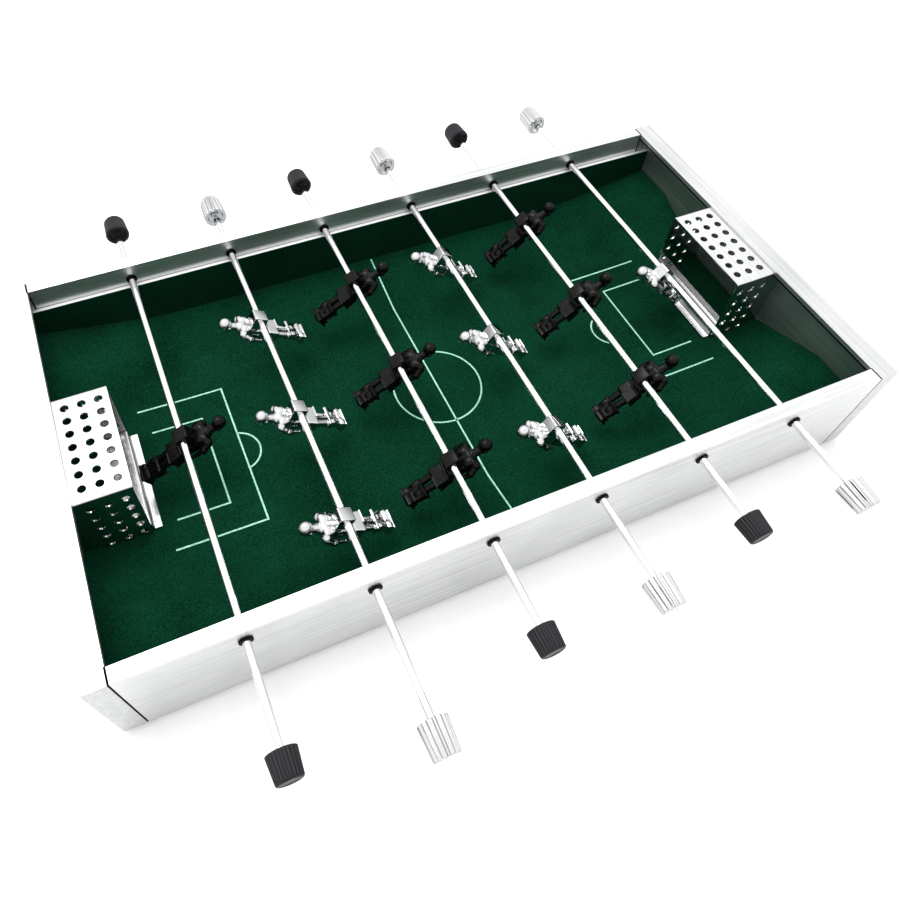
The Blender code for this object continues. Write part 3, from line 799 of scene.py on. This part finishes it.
def make_knob_mesh(team, length, radius):
    """A fluted, tapered knob with a cupped inner end, standing on Z from its inner face."""
    flutes, depth, power = KNOB_SHAPES[team]
    taper = radius / 9
    outer = radius - taper
    count = flutes * KNOB_STEPS_PER_FLUTE

    def groove(share):
        def cut(turn):
            wave = 0.5 - 0.5 * math.cos(flutes * turn)
            return share * depth * wave ** power
        return cut

    rings = [ring(0.0035, ROD_RADIUS + FIT, count), ring(0.0031, ROD_RADIUS + 0.0006, count)]
    rings += [ring(height, reach, count) for height, reach in KNOB_CUP]
    rings += [ring(height, radius - inset, count, groove(share))
              for height, inset, share in KNOB_RIM]
    for i in range(1, KNOB_BODY_STEPS):
        part = i / KNOB_BODY_STEPS
        rings.append(ring(part * (length - KNOB_CHAMFER), radius - part * taper, count,
                          groove(1.0)))
    for i in range(KNOB_CHAMFER_STEPS + 1):
        turn = i / KNOB_CHAMFER_STEPS * math.pi / 2
        fade = math.cos(turn)
        rings.append(ring(length - KNOB_CHAMFER + KNOB_CHAMFER * math.sin(turn),
                          outer - KNOB_CHAMFER + KNOB_CHAMFER * math.cos(turn), count,
                          groove(fade)))
    rings.append(ring(length, outer * 0.5, count))
    rings.append(ring(length - 0.0002, outer * 0.45, count))
    return smooth(rings_mesh("knob_%s_grip" % team, rings), 60)


def make_knobs():
    meshes = {}
    for number in SPINS:
        team = TEAMS[number]
        for side_name, side in SIDES:
            node = "knob_%d_%s" % (number, side_name)
            low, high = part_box(node)
            if team not in meshes:
                meshes[team] = make_knob_mesh(team, high.y - low.y, (high.x - low.x) / 2)
            inner_y = high.y if side < 0 else low.y
            place = (Matrix.Translation(((low.x + high.x) / 2, inner_y, (low.z + high.z) / 2))
                     @ Matrix.Rotation(-side * math.pi / 2, 4, "X"))
            add_piece(node + "_grip", meshes[team], LOOKS["knob_" + team],
                      "rod_%d_team" % number, [node], place)


# ---------------------------------------------------------------- figures

# A figure stands up along Z and faces +X, with its rod along Y through the origin.
LEAN = {1: 28.0, 2: 31.0, 3: 30.5, 4: 34.5, 5: 36.5, 6: 41.0}    # degrees from lying flat
MM = 0.001
VOXEL = 0.34
KEPT_FACES = 0.5             # share of the remeshed faces that a figure keeps
# Round forms: centre and radii in mm. Those with a sideways place are made on both sides.
HEAD_FORMS = (
    ((9.2, 0.0, 22.8), (4.6, 4.1, 4.5)),        # skull
    ((8.7, 0.0, 23.4), (4.8, 4.35, 4.3)),       # hair
    ((10.6, 0.0, 20.6), (3.7, 3.3, 4.5)),       # face
    ((12.3, 0.0, 17.5), (1.8, 1.7, 1.3)),       # chin
    ((13.5, 0.0, 22.3), (0.9, 2.2, 0.6)),       # brow
    ((14.4, 0.0, 20.6), (0.8, 0.6, 1.2)),       # nose
    ((13.6, 0.0, 18.8), (0.8, 1.2, 0.5)),       # lips
    ((12.5, 1.8, 20.0), (1.3, 1.2, 1.5)),       # cheeks
    ((13.4, 1.35, 21.4), (0.5, 0.7, 0.45)),     # eyes
    ((9.2, 4.1, 21.0), (1.0, 0.6, 1.4)),        # ears
)
BODY_FORMS = (
    ((9.7, 0.0, 13.6), (3.9, 3.9, 1.0)),        # collar
    ((9.6, 7.0, 11.0), (3.3, 3.6, 3.0)),        # shoulders
    ((11.9, 3.6, 8.6), (2.1, 3.6, 3.4)),        # chest
    ((6.0, 3.9, 8.4), (2.0, 3.4, 4.2)),         # shoulder blades
    ((11.9, 9.1, -2.8), (1.4, 1.2, 1.8)),       # hands
    ((13.0, 8.3, -1.6), (0.6, 0.6, 1.1)),       # thumbs
    ((10.6, 3.2, -24.6), (1.9, 2.1, 1.9)),      # knees
    ((6.9, 3.3, -29.5), (1.5, 2.3, 3.4)),       # calves
    ((13.0, 3.4, -37.8), (2.2, 2.8, 1.7)),      # toes
)
# Limbs: two ends and the radius at each, in mm, made on both sides.
LIMBS = (
    ((9.6, 0.0, 12.5), (9.6, 0.0, 18.0), 3.1, 2.8),         # neck
    ((10.1, 8.3, 10.6), (11.1, 9.9, 5.6), 2.7, 2.35),       # sleeve
    ((11.1, 9.85, 5.9), (11.2, 9.95, 5.3), 2.6, 2.6),       # sleeve hem
    ((11.2, 10.0, 5.0), (11.9, 9.3, -1.6), 1.75, 1.4),      # forearm
    ((9.4, 3.6, -14.0), (9.3, 3.2, -24.5), 2.8, 2.25),      # thigh
)
# Blocks: height, back, front, inner side and outer side in mm at the low and high end, and the
# radius of their edges. Those whose inner side is zero or more are made on both sides.
BODY_BLOCKS = (
    ((-6.8, 5.6, 13.2, -6.2, 6.2), (13.3, 4.8, 13.2, -8.4, 8.4), 2.4),     # shirt
    ((-7.6, 5.2, 13.6, -6.6, 6.6), (-6.4, 5.3, 13.5, -6.5, 6.5), 0.5),     # hem of the shirt
    ((-10.0, 5.4, 13.4, -6.6, 6.6), (-6.0, 5.6, 13.2, -6.3, 6.3), 1.2),    # top of the shorts
    ((-16.8, 5.1, 13.8, 0.35, 7.2), (-8.0, 5.4, 13.4, 0.0, 6.6), 1.1),     # legs of the shorts
    ((-35.5, 6.7, 12.0, 0.75, 5.5), (-26.2, 6.0, 12.6, 0.5, 6.2), 1.9),    # socks
    ((-27.2, 5.7, 12.9, 0.35, 6.4), (-25.8, 5.7, 12.9, 0.35, 6.4), 0.65),  # sock tops
    ((-39.0, 5.9, 14.8, 0.55, 6.2), (-35.0, 6.4, 12.0, 0.8, 5.7), 1.3),    # shoes
    ((-40.0, 5.8, 15.1, 0.4, 6.4), (-39.0, 5.8, 15.1, 0.4, 6.4), 0.45),    # soles
)
CLAMP = ((-4.1, -4.4, 8.0, -5.0, 5.0), (6.1, -4.4, 8.0, -5.0, 5.0), 0.9)


def on_both_sides(point):
    """A point in mm as metres, and mirrored across the figure's middle if it lies to a side."""
    here = Vector(point) * MM
    return [here] if here.y == 0 else [here, Vector((here.x, -here.y, here.z))]


def add_form(bm, centre, radii):
    for place in on_both_sides(centre):
        matrix = Matrix.Translation(place) @ Matrix.Diagonal((*(Vector(radii) * MM), 1.0))
        bmesh.ops.create_uvsphere(bm, u_segments=24, v_segments=16, radius=1.0, matrix=matrix)


def add_limb(bm, start, finish, first_radius, second_radius):
    """A tapered limb with round ends."""
    for low, high in zip(on_both_sides(start), on_both_sides(finish)):
        run = high - low
        turn = Vector((0, 0, 1)).rotation_difference(run).to_matrix().to_4x4()
        bmesh.ops.create_cone(
            bm, cap_ends=True, segments=24, radius1=first_radius * MM, radius2=second_radius * MM,
            depth=run.length, matrix=Matrix.Translation((low + high) / 2) @ turn)
        for place, radius in ((low, first_radius), (high, second_radius)):
            bmesh.ops.create_uvsphere(bm, u_segments=24, v_segments=16, radius=radius * MM,
                                      matrix=Matrix.Translation(place))


def add_block(bm, low_end, high_end, edge):
    """A block between two level rectangles, with rounded edges."""
    sides = (1,) if low_end[3] < 0 else (1, -1)
    for side in sides:
        block = bmesh.new()
        bmesh.ops.create_cube(block, size=2.0)
        for vert in block.verts:
            height, back, front, inner, outer = high_end if vert.co.z > 0 else low_end
            y = outer if vert.co.y > 0 else inner
            vert.co = Vector((front if vert.co.x > 0 else back, side * y, height)) * MM
        bmesh.ops.bevel(block, geom=list(block.edges), offset=edge * MM, segments=4, profile=0.5,
                        affect="EDGES")
        bmesh.ops.recalc_face_normals(block, faces=block.faces)
        piece = mesh_from(block, "block")
        bm.from_mesh(piece)
        bpy.data.meshes.remove(piece)


def make_figure_mesh():
    """A moulded player, with a crisp clamp block behind the shirt for the rod."""
    bm = bmesh.new()
    for centre, radii in HEAD_FORMS + BODY_FORMS:
        add_form(bm, centre, radii)
    for limb in LIMBS:
        add_limb(bm, *limb)
    for block in BODY_BLOCKS:
        add_block(bm, *block)
    body = evaluated_mesh(
        mesh_from(bm, "figure"),
        ("REMESH", {"mode": "VOXEL", "voxel_size": VOXEL * MM}),
        ("SMOOTH", {"factor": 0.5, "iterations": 4}),
        ("DECIMATE", {"ratio": KEPT_FACES}))
    bm = bmesh.new()
    add_block(bm, *CLAMP)
    clamp = mesh_from(bm, "clamp")
    drill = bmesh.new()
    add_drill(drill, (0, 0, 0), (0, 1, 0), ROD_RADIUS + FIT, 0.03, 48)
    clamp = combined(clamp, mesh_from(drill, "bore"), "DIFFERENCE")
    return smooth(combined(body, clamp, "UNION"), 58)


def make_figures():
    standing = make_figure_mesh()
    for number, spin in SPINS.items():
        team = TEAMS[number]
        turn = Euler((0.0, math.pi / 2 - math.radians(LEAN[number]),
                      0.0 if team == "black" else math.pi)).to_matrix().to_4x4()
        mesh = standing.copy()
        mesh.transform(turn)
        body = "rod_%d_team" % number
        for node in frame["record"]["behaviour"]["bodies"][body]:
            if node.startswith("knob"):
                continue
            low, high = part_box(node)
            place = (spin["pos_m"][0], (low.y + high.y) / 2, spin["pos_m"][2])
            add_piece(node + "_figure", mesh, LOOKS["figure_" + team], body, [node],
                      Matrix.Translation(place))


# ---------------------------------------------------------------- stage

def set_cad_material(node, look):
    cad = frame["nodes"][node]
    cad.data.materials.clear()
    cad.data.materials.append(look)


FLOOR_REACH = 30.0
KEY_PLACE = (-0.30, 0.40, 1.50)
KEY_TARGET = (0, 0, 0.03)
KEY_SIZE = (0.9, 0.9)
KEY_POWER = 13.0
STUDIO_STRENGTH = 1.35
# The studio's brightness, by how high above the horizon it is: 0 there, 1 overhead
STUDIO_LOW = (0.10, (0.36, 0.36, 0.365, 1.0))
STUDIO_HIGH = (0.50, (1.0, 1.0, 1.0, 1.0))


def make_floor():
    bm = bmesh.new()
    bmesh.ops.create_grid(bm, x_segments=1, y_segments=1, size=FLOOR_REACH)
    floor = bpy.data.objects.new("floor", mesh_from(bm, "floor"))
    bpy.context.scene.collection.objects.link(floor)
    white = Surface("floor_white", roughness=0.6)
    white.colour(white.noise(3, detail=2), (0.80, 0.80, 0.80), (0.82, 0.82, 0.82))
    floor.data.materials.append(white.material)


def add_softbox(name, place, target, size, power):
    data = bpy.data.lights.new(name, "AREA")
    data.shape = "RECTANGLE"
    data.size, data.size_y = size
    data.energy = power
    light = bpy.data.objects.new(name, data)
    light.location = place
    light.rotation_euler = (Vector(target) - Vector(place)).to_track_quat("-Z", "Y").to_euler()
    bpy.context.scene.collection.objects.link(light)


def make_lights():
    """A white studio that is bright overhead and darker near the horizon, and one key light."""
    world = bpy.data.worlds.new("studio")
    world.use_nodes = True
    tree = world.node_tree
    backdrop = tree.nodes["Background"]
    backdrop.inputs["Strength"].default_value = STUDIO_STRENGTH
    place = tree.nodes.new("ShaderNodeTexCoord").outputs["Generated"]
    parts = tree.nodes.new("ShaderNodeSeparateXYZ")
    ramp = tree.nodes.new("ShaderNodeValToRGB")
    for stop, (height, colour) in zip(ramp.color_ramp.elements, (STUDIO_LOW, STUDIO_HIGH)):
        stop.position = height
        stop.color = colour
    tree.links.new(place, parts.inputs["Vector"])
    tree.links.new(parts.outputs["Z"], ramp.inputs["Fac"])
    tree.links.new(ramp.outputs["Color"], backdrop.inputs["Color"])
    bpy.context.scene.world = world
    add_softbox("key", KEY_PLACE, KEY_TARGET, KEY_SIZE, KEY_POWER)
    view = bpy.context.scene.view_settings
    view.view_transform = "Standard"
    view.look = "Medium High Contrast"


CAMERA_PLACE = (-0.1712, -0.2931, 0.4658)
CAMERA_TURNS = (34.22, -1.93, -23.514)       # degrees about X, Y and Z
CAMERA_LENS = 29.39                          # mm, on a sensor 36 mm wide
CAMERA_SHIFT = (0.0504, -0.0321)


def make_camera():
    data = bpy.data.cameras.new("camera")
    data.lens = CAMERA_LENS
    data.sensor_width = 36.0
    data.shift_x, data.shift_y = CAMERA_SHIFT
    data.clip_start = 0.01
    camera = bpy.data.objects.new("camera", data)
    camera.location = CAMERA_PLACE
    camera.rotation_euler = [math.radians(turn) for turn in CAMERA_TURNS]
    bpy.context.scene.collection.objects.link(camera)
    bpy.context.scene.camera = camera


make_rails()
make_end_panels()
make_gaskets()
make_liners()
make_pitch()
make_markings()
make_goals()
make_sills()
make_rods()
make_bushings()
make_knobs()
make_figures()
set_cad_material("base_board", LOOKS["board"])
make_floor()
make_lights()
make_camera()
